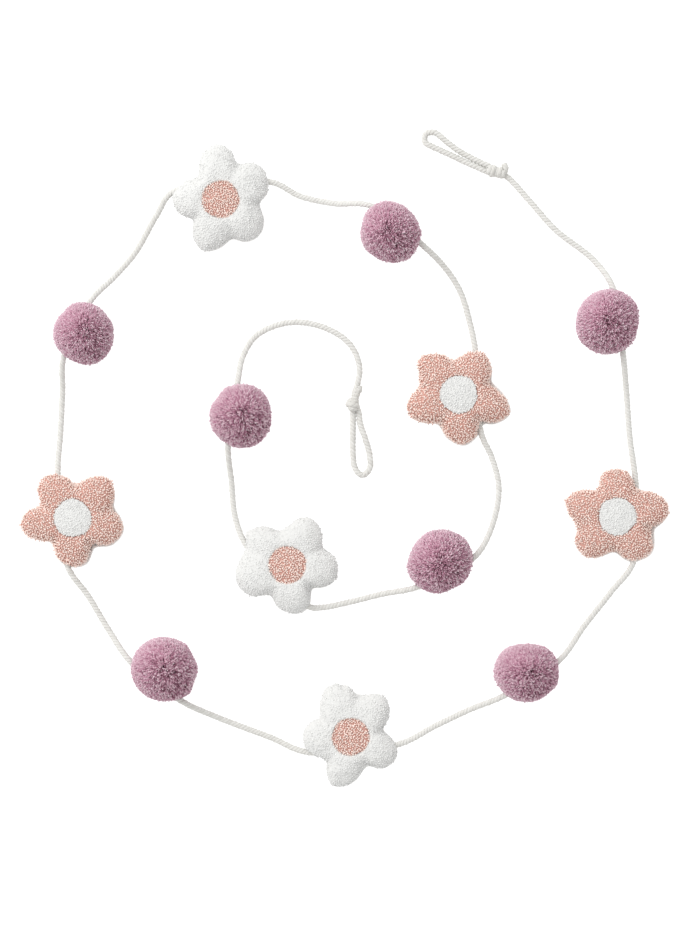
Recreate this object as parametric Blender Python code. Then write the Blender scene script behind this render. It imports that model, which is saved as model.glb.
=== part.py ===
"""Garland of stuffed pile flowers and yarn pom poms threaded on one twisted cotton cord.

It lies on a table in a loose double ring. Metres, +Z up; the origin is on the table, under the
middle of the flowers and pom poms.
"""

import math
import random
from collections import namedtuple

import bmesh
import bpy
import numpy as np
from mathutils import Matrix, Vector

for old in list(bpy.data.objects):
    bpy.data.objects.remove(old, do_unlink=True)

GAP = 0.0003

# Cord: one length from knot to knot, through every flower and pom pom
CORD_RADIUS = 0.0018
CORD_CLEARANCE = 0.0005
CORD_POINTS = 80
LOOP_POINTS = 14
BEND_WEIGHT = 0.022
TUBE_SIDES = 8
CORD_COLOUR = (0.76, 0.73, 0.67)

# Where the cord's middle runs, x, y, z, one line for each stretch between two threaded pieces;
# a line starts where the cord leaves a piece and ends where it enters the next
CORD_ROUTE = [
    (0.1094, 0.1928, 0.0019), (0.1236, 0.1774, 0.0019), (0.1410, 0.1580, 0.0019),
    (0.1664, 0.1376, 0.0040), (0.1790, 0.1174, 0.0155),
    (0.1852, 0.0760, 0.0155), (0.1884, 0.0492, 0.0042), (0.1906, 0.0206, 0.0019), (0.1948, -0.0160, 0.0055),
    (0.1930, -0.0640, 0.0055), (0.1784, -0.0840, 0.0019), (0.1604, -0.1066, 0.0038), (0.1426, -0.1296, 0.0150),
    (0.1066, -0.1526, 0.0155), (0.0836, -0.1628, 0.0040), (0.0610, -0.1736, 0.0019), (0.0356, -0.1860, 0.0055),
    (-0.0244, -0.1912, 0.0055), (-0.0496, -0.1814, 0.0019),
    (-0.0856, -0.1676, 0.0038), (-0.1090, -0.1560, 0.0150),
    (-0.1416, -0.1310, 0.0150), (-0.1570, -0.1104, 0.0040),
    (-0.1710, -0.0874, 0.0019), (-0.1856, -0.0654, 0.0055),
    (-0.1914, -0.0054, 0.0055), (-0.1898, 0.0240, 0.0019),
    (-0.1884, 0.0500, 0.0040), (-0.1866, 0.0734, 0.0155),
    (-0.1692, 0.1094, 0.0155), (-0.1536, 0.1266, 0.0040), (-0.1396, 0.1430, 0.0019),
    (-0.1256, 0.1676, 0.0019), (-0.1144, 0.1830, 0.0055),
    (-0.0492, 0.1896, 0.0055), (-0.0296, 0.1804, 0.0019), (-0.0070, 0.1754, 0.0040), (0.0176, 0.1730, 0.0155),
    (0.0504, 0.1484, 0.0150), (0.0676, 0.1320, 0.0040), (0.0774, 0.1166, 0.0019),
    (0.0836, 0.0966, 0.0019), (0.0874, 0.0766, 0.0055),
    (0.0912, 0.0224, 0.0055), (0.0984, 0.0060, 0.0019), (0.1032, -0.0146, 0.0019),
    (0.0984, -0.0406, 0.0040), (0.0856, -0.0614, 0.0150),
    (0.0496, -0.0802, 0.0150), (0.0250, -0.0856, 0.0040), (0.0050, -0.0906, 0.0019),
    (-0.0150, -0.0946, 0.0026), (-0.0246, -0.0936, 0.0055),
    (-0.0646, -0.0544, 0.0055), (-0.0730, -0.0346, 0.0019),
    (-0.0756, -0.0094, 0.0040), (-0.0774, 0.0140, 0.0155),
    (-0.0714, 0.0540, 0.0155), (-0.0674, 0.0744, 0.0040), (-0.0584, 0.0876, 0.0019), (-0.0364, 0.0960, 0.0019),
    (-0.0130, 0.0924, 0.0019), (0.0036, 0.0814, 0.0019), (0.0100, 0.0666, 0.0019), (0.0085, 0.0541, 0.0019),
]
# Hanging loops lie flat on the table; x and y only
LOOP_HEIGHT = 0.0019
OUTER_LOOP = [
    (0.0958, 0.2008), (0.0879, 0.2045), (0.0762, 0.2109), (0.0663, 0.2185), (0.0627, 0.2217),
    (0.0588, 0.2232), (0.0548, 0.2222), (0.0534, 0.2190), (0.0545, 0.2158), (0.0601, 0.2129),
    (0.0711, 0.2079), (0.0813, 0.2030), (0.0879, 0.2001), (0.0937, 0.1975),
]
INNER_LOOP = [
    (0.0056, 0.0360), (0.0056, 0.0194), (0.0056, 0.0094), (0.0072, -0.0018), (0.0120, -0.0062),
    (0.0168, -0.0018), (0.0168, 0.0074), (0.0140, 0.0180), (0.0106, 0.0280), (0.0095, 0.0360),
]

# Knots: round lumps run together, each centre x, y, z, three half sizes and the way the long one points
Lump = namedtuple("Lump", "x y z long across high turn")
OUTER_KNOT = [Lump(0.0992, 0.1966, 0.0046, 0.0044, 0.0052, 0.0046, -10),
              Lump(0.1060, 0.1960, 0.0040, 0.0040, 0.0038, 0.0040, -20),
              Lump(0.1068, 0.1998, 0.0040, 0.0020, 0.0032, 0.0020, 10)]
INNER_KNOT = [Lump(0.0060, 0.0414, 0.0046, 0.0054, 0.0047, 0.0046, 40),
              Lump(0.0084, 0.0490, 0.0036, 0.0032, 0.0046, 0.0036, 8)]
KNOT_SEGMENTS = 12
KNOT_RINGS = 8
KNOT_WRAPS = 3
KNOT_WRAP_SLANT = 2.0
KNOT_GROOVE = 0.0003

# Pom poms: yarn locks that stand apart from a small tied core; sizes across X and Y
Pom = namedtuple("Pom", "x y across_x across_y seed")
POMS = [
    Pom(0.1746, 0.0960, 0.0427, 0.0420, 3),
    Pom(0.1208, -0.1372, 0.0432, 0.0400, 5),
    Pom(-0.1194, -0.1354, 0.0440, 0.0427, 7),
    Pom(-0.1730, 0.0880, 0.0400, 0.0427, 9),
    Pom(0.0304, 0.1556, 0.0404, 0.0413, 11),
    Pom(0.0636, -0.0640, 0.0433, 0.0427, 13),
    Pom(-0.0686, 0.0326, 0.0407, 0.0427, 15),
]
POM_POINTS = 36
POM_CORE = 0.40
POM_MIDDLE_HEIGHT = 0.87
LOCK_ROOT_GAP = 0.00045
LOCK_UNEVEN = 0.04
LOCK_CORNER = 0.95
MOST_LOCKS = 42
SPREAD_ROUNDS = 160
SPREAD_STEP = 0.01
POM_COLOUR = (0.43, 0.24, 0.30)

# Flowers: the outline goes round by compass angle and reach from the middle; each line is a petal,
# as the notch before it, its near shoulder, its tip and its far shoulder
Flower = namedtuple("Flower", "x y pile centre outline")
PINK = (0.66, 0.45, 0.39)
WHITE = (0.86, 0.86, 0.86)
BACK_CLOTH_COLOUR = (0.68, 0.63, 0.57)
FLOWERS = [
    Flower(0.1816, -0.0336, "pink", "white", [
        (52, 0.0231), (76, 0.0310), (90, 0.0319), (104, 0.0318),
        (127, 0.0232), (147, 0.0318), (159, 0.0360), (173, 0.0339),
        (193, 0.0279), (210, 0.0329), (224, 0.0353), (239, 0.0331),
        (266, 0.0240), (284, 0.0305), (298, 0.0336), (314, 0.0342),
        (340, 0.0257), (353, 0.0312), (364, 0.0357), (381, 0.0339)]),
    Flower(0.0042, -0.1802, "white", "pink", [
        (11, 0.0230), (30, 0.0308), (50, 0.0350), (64, 0.0317),
        (79, 0.0284), (93, 0.0336), (114, 0.0369), (127, 0.0330),
        (150, 0.0247), (163, 0.0298), (180, 0.0323), (198, 0.0308),
        (226, 0.0243), (240, 0.0324), (254, 0.0358), (272, 0.0322),
        (298, 0.0238), (315, 0.0314), (334, 0.0345), (350, 0.0310)]),
    Flower(-0.1808, -0.0346, "pink", "white", [
        (15, 0.0275), (29, 0.0319), (47, 0.0356), (62, 0.0320),
        (87, 0.0233), (101, 0.0287), (120, 0.0337), (139, 0.0320),
        (160, 0.0243), (173, 0.0320), (187, 0.0362), (203, 0.0325),
        (228, 0.0228), (250, 0.0302), (268, 0.0332), (285, 0.0318),
        (305, 0.0231), (326, 0.0314), (344, 0.0349), (357, 0.0322)]),
    Flower(-0.0824, 0.1774, "white", "pink", [
        (-5, 0.0266), (9, 0.0320), (36, 0.0353), (49, 0.0331),
        (65, 0.0272), (79, 0.0339), (92, 0.0375), (111, 0.0338),
        (134, 0.0231), (154, 0.0279), (175, 0.0325), (197, 0.0299),
        (216, 0.0237), (232, 0.0312), (250, 0.0364), (267, 0.0332),
        (286, 0.0278), (301, 0.0332), (316, 0.0355), (332, 0.0333)]),
    Flower(0.0760, 0.0476, "pink", "white", [
        (20, 0.0230), (38, 0.0285), (59, 0.0330), (75, 0.0303),
        (97, 0.0240), (116, 0.0308), (139, 0.0362), (151, 0.0311),
        (168, 0.0273), (180, 0.0315), (195, 0.0363), (213, 0.0332),
        (236, 0.0244), (256, 0.0307), (277, 0.0343), (293, 0.0308),
        (310, 0.0245), (322, 0.0312), (340, 0.0372), (356, 0.0321)]),
    Flower(-0.0380, -0.0658, "white", "pink", [
        (26, 0.0267), (43, 0.0319), (64, 0.0349), (77, 0.0317),
        (102, 0.0236), (121, 0.0303), (140, 0.0349), (152, 0.0318),
        (161, 0.0303), (178, 0.0333), (202, 0.0362), (220, 0.0324),
        (241, 0.0247), (258, 0.0304), (284, 0.0343), (297, 0.0320),
        (315, 0.0239), (331, 0.0308), (347, 0.0345), (368, 0.0327)]),
]
SECTORS = 35
CENTRE_SECTORS = 16
CENTRE_RADIUS = 0.0125
CENTRE_BOTTOM = 0.0138
CENTRE_TOP = 0.0178
CENTRE_FLAT_UNDER = 0.9
CENTRE_FLAT_TOP = 0.6
VALLEY_DEPTH = 0.16
VALLEY_DEEPEST = 0.7
RIM_PROUD = 0.0008
RIM_PROUD_TOWARDS = -55
RIM_STARTS = 4

# Back cloth: how far out each ring is (0 at the flower's middle disc, 1 at its outline), its height
# outside, and how far in and up the cloth's inner face is from there
BackRing = namedtuple("BackRing", "out height inner_in inner_up")
BACK_RINGS = [BackRing(0.45, 0.0, 0.0, 0.0012), BackRing(0.80, 0.0010, 0.0004, 0.0012),
              BackRing(1.00, 0.0044, 0.0010, 0.0008)]
# Front: rings from its drawn-in side to the edge of the recess for the centre, out and height
FrontRing = namedtuple("FrontRing", "out height")
FRONT_RINGS = [FrontRing(1.00, 0.0085), FrontRing(0.92, 0.0128), FrontRing(0.72, 0.0162),
               FrontRing(0.38, 0.0176), FrontRing(0.00, 0.0168)]
RECESS_FLOOR = 0.0135


def material(name, colour, roughness):
    made = bpy.data.materials.new(name)
    made.use_nodes = True
    shader = made.node_tree.nodes["Principled BSDF"]
    shader.inputs["Base Color"].default_value = (*colour, 1.0)
    shader.inputs["Roughness"].default_value = roughness
    shader.inputs["Metallic"].default_value = 0.0
    made.diffuse_color = (*colour, 1.0)
    return made


COTTON = material("cord_cotton", CORD_COLOUR, 0.85)
YARN = material("mauve_yarn", POM_COLOUR, 0.95)
PILE = {"pink": material("pink_pile", PINK, 0.95), "white": material("white_pile", WHITE, 0.95)}
BACK_CLOTH = material("back_cloth", BACK_CLOTH_COLOUR, 0.9)


def add_object(name, data, look, smooth_angle=None):
    made = bpy.data.objects.new(name, data)
    bpy.context.scene.collection.objects.link(made)
    data.materials.append(look)
    if smooth_angle is not None:
        data.shade_smooth()
        data.set_sharp_from_angle(angle=math.radians(smooth_angle))
    return made


def mesh_from_bmesh(name, shape):
    bmesh.ops.recalc_face_normals(shape, faces=shape.faces)
    data = bpy.data.meshes.new(name)
    shape.to_mesh(data)
    shape.free()
    return data


def smooth_curve(points, steps=24):
    """Even, rounded way through the points (a centripetal Catmull-Rom curve)."""
    ends = [points[0] * 2 - points[1]] + points + [points[-1] * 2 - points[-2]]
    curve = []
    for before, start, end, after in zip(ends, ends[1:], ends[2:], ends[3:]):
        t1 = math.sqrt((start - before).length)
        t2 = t1 + math.sqrt((end - start).length)
        t3 = t2 + math.sqrt((after - end).length)
        for step in range(steps):
            t = t1 + (t2 - t1) * step / steps
            a1 = before.lerp(start, t / t1)
            a2 = start.lerp(end, (t - t1) / (t2 - t1))
            a3 = end.lerp(after, (t - t2) / (t3 - t2))
            b1 = a1.lerp(a2, t / t2)
            b2 = a2.lerp(a3, (t - t1) / (t3 - t1))
            curve.append(b1.lerp(b2, (t - t1) / (t2 - t1)))
    curve.append(points[-1].copy())
    for point in curve:
        point.z = max(point.z, CORD_RADIUS)
    return curve


def read_curve(curve, count):
    """Points along the curve, closer together where it bends."""
    travelled = [0.0]
    for index in range(1, len(curve)):
        step = (curve[index] - curve[index - 1]).length
        bend = 0.0
        if index + 1 < len(curve):
            bend = (curve[index] - curve[index - 1]).angle(curve[index + 1] - curve[index], 0.0)
        travelled.append(travelled[-1] + step + BEND_WEIGHT * bend)
    wanted = np.linspace(0.0, travelled[-1], count)
    columns = [np.interp(wanted, travelled, [point[axis] for point in curve]) for axis in range(3)]
    return [Vector(values) for values in zip(*columns)]


def cord_object(name, points):
    data = bpy.data.curves.new(name, "CURVE")
    data.dimensions = "3D"
    data.bevel_depth = CORD_RADIUS
    data.bevel_resolution = 2
    data.use_fill_caps = True
    spline = data.splines.new("POLY")
    spline.points.add(len(points) - 1)
    for place, point in zip(spline.points, points):
        place.co = (*point, 1.0)
    return add_object(name, data, COTTON)


def channel_cutter(points):
    """Closed tube, a little fatter than the cord, that clears its way through the pieces."""
    shape = bmesh.new()
    ring_before = None
    side = Vector((0.0, 0.0, 1.0))
    for index, point in enumerate(points):
        along = (points[min(index + 1, len(points) - 1)] - points[max(index - 1, 0)]).normalized()
        side = (side - along * side.dot(along)).normalized()
        across = along.cross(side)
        ring = []
        for corner in range(TUBE_SIDES):
            turn = 2 * math.pi * corner / TUBE_SIDES
            offset = (side * math.cos(turn) + across * math.sin(turn)) * (CORD_RADIUS + CORD_CLEARANCE)
            ring.append(shape.verts.new(point + offset))
        if ring_before is None:
            shape.faces.new(ring)
        else:
            for corner in range(TUBE_SIDES):
                following = (corner + 1) % TUBE_SIDES
                shape.faces.new((ring_before[corner], ring_before[following], ring[following], ring[corner]))
        ring_before = ring
    shape.faces.new(ring_before[::-1])
    cutter = add_object("cord_channel", mesh_from_bmesh("cord_channel", shape), COTTON)
    cutter.hide_render = True
    cutter.display_type = "WIRE"
    return cutter


def cut_channel(target, cutter):
    cut = target.modifiers.new("cord_channel", "BOOLEAN")
    cut.operation = "DIFFERENCE"
    cut.solver = "EXACT"
    cut.object = cutter


def knot_lump(name, lump):
    """Ball with the grooves between the cord's wraps, turned about Z."""
    shape = bmesh.new()
    bmesh.ops.create_uvsphere(shape, u_segments=KNOT_SEGMENTS, v_segments=KNOT_RINGS, radius=1.0)
    for vert in shape.verts:
        wrap = math.cos(math.pi * KNOT_WRAPS * vert.co.x + KNOT_WRAP_SLANT * vert.co.y)
        grooved = 1.0 + KNOT_GROOVE / lump.across * wrap
        vert.co = Vector((vert.co.x * lump.long, vert.co.y * lump.across * grooved, vert.co.z * lump.high))
    place = Matrix.Translation((lump.x, lump.y, lump.z)) @ Matrix.Rotation(math.radians(lump.turn), 4, "Z")
    bmesh.ops.transform(shape, matrix=place, verts=shape.verts)
    return add_object(name, mesh_from_bmesh(name, shape), COTTON, 40)


def build_knot(name, lumps, cutters):
    knot = knot_lump(name, lumps[0])
    for number, lump in enumerate(lumps[1:], 1):
        piece = knot_lump(f"{name}_lump_{number}", lump)
        piece.hide_render = True
        piece.display_type = "WIRE"
        join = knot.modifiers.new(f"lump_{number}", "BOOLEAN")
        join.operation = "UNION"
        join.solver = "EXACT"
        join.object = piece
    for cutter in cutters:
        cut_channel(knot, cutter)
    return knot


def spread_directions(count, pinned, rng):
    """Directions pushed evenly apart over a sphere; the pinned ones stay where they are."""
    loose = [[rng.gauss(0.0, 1.0) for _ in range(3)] for _ in range(count - len(pinned))]
    points = np.array([list(way) for way in pinned] + loose)
    points /= np.linalg.norm(points, axis=1)[:, None]
    for _ in range(SPREAD_ROUNDS):
        apart = points[:, None, :] - points[None, :, :]
        distance = np.linalg.norm(apart, axis=2) + np.eye(count)
        push = (apart / distance[..., None] ** 4).sum(axis=1)
        push[:len(pinned)] = 0.0
        points += SPREAD_STEP * push / np.maximum(1.0, np.linalg.norm(push, axis=1))[:, None]
        points /= np.linalg.norm(points, axis=1)[:, None]
    return [Vector(way) for way in points]


def build_pom(name, pom, cord_way, cutter):
    """Core of flat facets with one lock grown out of each; locks under it end level on the table."""
    half = Vector((pom.across_x / 2, pom.across_y / 2, (pom.across_x + pom.across_y) / 4))
    middle_height = half.z * POM_MIDDLE_HEIGHT
    middle = Vector((pom.x, pom.y, middle_height))
    inside = [point for point in cord_way if (point - middle).length < half.z]
    ways_out = [(inside[0] - middle).normalized(), (inside[-1] - middle).normalized()]
    rng = random.Random(pom.seed)

    shape = bmesh.new()
    for way in spread_directions(POM_POINTS, ways_out, rng):
        shape.verts.new(Vector(way[axis] * half[axis] for axis in range(3)) * POM_CORE)
    bmesh.ops.convex_hull(shape, input=shape.verts)
    bmesh.ops.join_triangles(shape, faces=shape.faces, angle_face_threshold=math.pi,
                             angle_shape_threshold=math.pi)
    roots = list(shape.faces)
    assert len(roots) <= MOST_LOCKS, f"{name} has {len(roots)} locks"
    bmesh.ops.inset_individual(shape, faces=roots, thickness=LOCK_ROOT_GAP / 2, use_even_offset=True)
    ends = bmesh.ops.extrude_discrete_faces(shape, faces=roots)["faces"]
    stretch = LOCK_CORNER / POM_CORE
    for end in ends:
        uneven = 1.0 + rng.uniform(-LOCK_UNEVEN, LOCK_UNEVEN)
        for vert in end.verts:
            out = Vector(vert.co[axis] / half[axis] for axis in range(3)).length / POM_CORE
            vert.co *= stretch * uneven / out
    tips = bmesh.ops.poke(shape, faces=ends)["verts"]
    for tip in tips:
        out = Vector(tip.co[axis] / half[axis] for axis in range(3)).length
        tip.co *= 1.0 / out
    for vert in shape.verts:
        if vert.co.z < -middle_height:
            vert.co *= -middle_height / vert.co.z
    bmesh.ops.translate(shape, verts=shape.verts, vec=middle)
    made = add_object(name, mesh_from_bmesh(name, shape), YARN)
    cut_channel(made, cutter)
    return made


def widest_halved(angles, count):
    """The angles with the middle of the widest gap added, again and again up to that many."""
    angles = sorted(angles)
    while len(angles) < count:
        gaps = [after - before for before, after in zip(angles, angles[1:] + [angles[0] + 360])]
        widest = gaps.index(max(gaps))
        angles.insert(widest + 1, angles[widest] + gaps[widest] / 2)
    return angles


def outline_reach(outline, angle):
    """How far the flower reaches from its middle that way, on a smooth curve through its outline."""
    around = [(turn + lap, reach) for lap in (-360, 0, 360) for turn, reach in outline]
    place = max(index for index, (turn, _) in enumerate(around) if turn <= angle)
    (turn0, reach0), (turn1, reach1), (turn2, reach2), (turn3, reach3) = around[place - 1:place + 3]
    gap = turn2 - turn1
    slope1 = gap * (reach2 - reach0) / (turn2 - turn0)
    slope2 = gap * (reach3 - reach1) / (turn3 - turn1)
    part = (angle - turn1) / gap
    rise = 3 * part ** 2 - 2 * part ** 3
    return (reach1 + (reach2 - reach1) * rise + slope1 * (part - 2 * part ** 2 + part ** 3)
            + slope2 * (part ** 3 - part ** 2))


def polar_solid(name, rings, low_middle, high_middle, look, smooth_angle):
    """Closed solid from rings of points, the first around low_middle and the last around high_middle."""
    shape = bmesh.new()
    made = [[shape.verts.new(point) for point in ring] for ring in rings]
    count = len(rings[0])
    low = shape.verts.new(low_middle)
    high = shape.verts.new(high_middle)
    for step in range(count):
        following = (step + 1) % count
        shape.faces.new((low, made[0][following], made[0][step]))
        shape.faces.new((high, made[-1][step], made[-1][following]))
        for inner, outer in zip(made, made[1:]):
            shape.faces.new((inner[step], inner[following], outer[following], outer[step]))
    return add_object(name, mesh_from_bmesh(name, shape), look, smooth_angle)


def build_flower(number, flower, cutter):
    degrees = widest_halved([turn for turn, _ in flower.outline], SECTORS)
    reaches = [outline_reach(flower.outline, turn) for turn in degrees]
    angles = [math.radians(turn) for turn in degrees]
    furthest = max(reaches)
    nearest = min(reaches)
    valleys = [(furthest - reach) / (furthest - nearest) for reach in reaches]
    pull = math.radians(RIM_PROUD_TOWARDS)
    rims = [RIM_PROUD * max(0.0, math.cos(angle - pull)) for angle in angles]

    def ring(out, inward, height, low_valleys=0.0, rim_share=0.0):
        points = []
        for angle, reach, valley, rim in zip(angles, reaches, valleys, rims):
            radius = CENTRE_RADIUS + (reach - CENTRE_RADIUS) * out - inward + rim * rim_share
            points.append((flower.x + radius * math.cos(angle), flower.y + radius * math.sin(angle),
                           height * (1.0 - low_valleys * valley)))
        return points

    name = f"flower_{number}"
    cloth = BACK_RINGS[0].inner_up
    outside = [ring(step.out, 0.0, step.height, rim_share=step.out ** RIM_STARTS) for step in BACK_RINGS]
    inside = [ring(step.out, step.inner_in, step.height + step.inner_up, rim_share=step.out ** RIM_STARTS)
              for step in reversed(BACK_RINGS)]
    back = polar_solid(f"{name}_back", outside + inside, (flower.x, flower.y, 0.0),
                       (flower.x, flower.y, cloth), BACK_CLOTH, 50)

    under = [ring(step.out, step.inner_in + GAP, step.height + step.inner_up + GAP)
             for step in BACK_RINGS]
    over = [ring(step.out, 0.0, step.height, VALLEY_DEPTH * (1.0 - abs(step.out - VALLEY_DEEPEST)))
            for step in FRONT_RINGS[:-1]]
    recess_edge = ring(0.0, 0.0, FRONT_RINGS[-1].height)
    recess_foot = ring(0.0, 0.0, RECESS_FLOOR)
    front = polar_solid(f"{name}_front", under + over + [recess_edge, recess_foot],
                        (flower.x, flower.y, cloth + GAP), (flower.x, flower.y, RECESS_FLOOR),
                        PILE[flower.pile], 60)
    cut_channel(back, cutter)
    cut_channel(front, cutter)

    disc = []
    for radius, height in ((CENTRE_FLAT_UNDER, CENTRE_BOTTOM), (1.0, CENTRE_BOTTOM),
                           (1.0, FRONT_RINGS[-1].height), (CENTRE_FLAT_TOP, CENTRE_TOP)):
        reach = (CENTRE_RADIUS - 2 * GAP) * radius
        disc.append([(flower.x + reach * math.cos(turn), flower.y + reach * math.sin(turn), height)
                     for turn in (2 * math.pi * step / CENTRE_SECTORS for step in range(CENTRE_SECTORS))])
    polar_solid(f"{name}_centre", disc, (flower.x, flower.y, CENTRE_BOTTOM), (flower.x, flower.y, CENTRE_TOP),
                PILE[flower.centre], 40)


cord_way = smooth_curve([Vector(point) for point in CORD_ROUTE])
cord_points = read_curve(cord_way, CORD_POINTS)
cord_object("cord", cord_points)
channel = channel_cutter(cord_points)
for loop_name, loop in (("loop_outer", OUTER_LOOP), ("loop_inner", INNER_LOOP)):
    route = [Vector((x, y, LOOP_HEIGHT)) for x, y in loop]
    cord_object(loop_name, read_curve(smooth_curve(route), LOOP_POINTS))
build_knot("knot_outer", OUTER_KNOT, [])
build_knot("knot_inner", INNER_KNOT, [])
for number, pom in enumerate(POMS, 1):
    build_pom(f"pom_{number}", pom, cord_way, channel)
for number, flower in enumerate(FLOWERS, 1):
    build_flower(number, flower, channel)
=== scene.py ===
import math
from collections import namedtuple

import bpy
import numpy as np
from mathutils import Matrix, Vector


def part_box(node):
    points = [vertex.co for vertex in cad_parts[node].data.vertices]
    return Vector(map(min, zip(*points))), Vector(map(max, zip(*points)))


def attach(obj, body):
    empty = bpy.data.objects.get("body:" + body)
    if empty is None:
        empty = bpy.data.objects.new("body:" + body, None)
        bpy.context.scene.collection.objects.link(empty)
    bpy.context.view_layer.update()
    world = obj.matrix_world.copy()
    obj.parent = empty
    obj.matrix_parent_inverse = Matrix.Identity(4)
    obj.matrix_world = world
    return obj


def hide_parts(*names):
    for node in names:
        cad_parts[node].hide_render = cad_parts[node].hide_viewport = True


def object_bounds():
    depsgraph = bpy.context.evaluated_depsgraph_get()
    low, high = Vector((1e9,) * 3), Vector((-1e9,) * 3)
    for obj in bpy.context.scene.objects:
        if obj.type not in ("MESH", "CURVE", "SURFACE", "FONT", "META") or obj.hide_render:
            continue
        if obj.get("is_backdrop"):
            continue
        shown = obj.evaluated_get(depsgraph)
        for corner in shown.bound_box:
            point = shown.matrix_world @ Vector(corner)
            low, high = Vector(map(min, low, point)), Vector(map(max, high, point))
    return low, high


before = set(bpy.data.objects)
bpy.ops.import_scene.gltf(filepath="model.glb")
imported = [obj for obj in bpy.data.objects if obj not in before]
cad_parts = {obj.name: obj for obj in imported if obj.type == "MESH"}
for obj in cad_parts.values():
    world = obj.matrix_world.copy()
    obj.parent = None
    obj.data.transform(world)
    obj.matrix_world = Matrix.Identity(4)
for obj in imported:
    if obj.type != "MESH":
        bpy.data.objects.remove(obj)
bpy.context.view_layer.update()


# The table, the lights and the camera
# The garland lies on a white table that glows a little, so that shadows nearly vanish, and is seen
# from straight above. One large soft light stands at the upper left and the room fills the rest.
SEEN_LENGTH = 0.6193
SEEN_MIDDLE = (0.0027, 0.0010)
CAMERA_HEIGHT = 2.6
SENSOR = 36.0
PILE_LEVEL = 0.010
TABLE_HALF = 3.0
TABLE_DROP = 0.0002
TABLE_GREY = 0.35
TABLE_GLOW = 0.88
WINDOW_PLACE = (-2.6, 2.6, 3.4)
WINDOW_SIZE = 3.8
WINDOW_POWER = 176.0
ROOM_LIGHT = 0.90
WHITE = (1.0, 1.0, 1.0)

table_mesh = bpy.data.meshes.new("table")
table_mesh.from_pydata(
    [(-TABLE_HALF, -TABLE_HALF, -TABLE_DROP), (TABLE_HALF, -TABLE_HALF, -TABLE_DROP),
     (TABLE_HALF, TABLE_HALF, -TABLE_DROP), (-TABLE_HALF, TABLE_HALF, -TABLE_DROP)], [], [(0, 1, 2, 3)])
table = bpy.data.objects.new("table", table_mesh)
bpy.context.scene.collection.objects.link(table)
table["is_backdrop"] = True

table_paint = bpy.data.materials.new("glowing white table")
table_paint.use_nodes = True
paint = table_paint.node_tree.nodes["Principled BSDF"]
paint.inputs["Base Color"].default_value = (TABLE_GREY, TABLE_GREY, TABLE_GREY, 1.0)
paint.inputs["Roughness"].default_value = 0.9
paint.inputs["Specular IOR Level"].default_value = 0.1
paint.inputs["Emission Color"].default_value = (*WHITE, 1.0)
paint.inputs["Emission Strength"].default_value = TABLE_GLOW
table_mesh.materials.append(table_paint)

camera_data = bpy.data.cameras.new("camera above")
camera_data.sensor_width = SENSOR
camera_data.lens = SENSOR * (CAMERA_HEIGHT - PILE_LEVEL) / SEEN_LENGTH
camera_data.clip_end = 20.0
camera = bpy.data.objects.new("camera above", camera_data)
camera.location = (*SEEN_MIDDLE, CAMERA_HEIGHT)
bpy.context.scene.collection.objects.link(camera)
bpy.context.scene.camera = camera

window_data = bpy.data.lights.new("window light", "AREA")
window_data.shape = "SQUARE"
window_data.size = WINDOW_SIZE
window_data.energy = WINDOW_POWER
window = bpy.data.objects.new("window light", window_data)
window.location = WINDOW_PLACE
window.rotation_mode = "QUATERNION"
window.rotation_quaternion = Vector(WINDOW_PLACE).to_track_quat("Z", "Y")
bpy.context.scene.collection.objects.link(window)
room = bpy.data.worlds.new("white room")
room.use_nodes = True
room.node_tree.nodes["Background"].inputs["Color"].default_value = (*WHITE, 1.0)
room.node_tree.nodes["Background"].inputs["Strength"].default_value = ROOM_LIGHT
bpy.context.scene.world = room
bpy.context.scene.view_settings.view_transform = "Standard"


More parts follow.
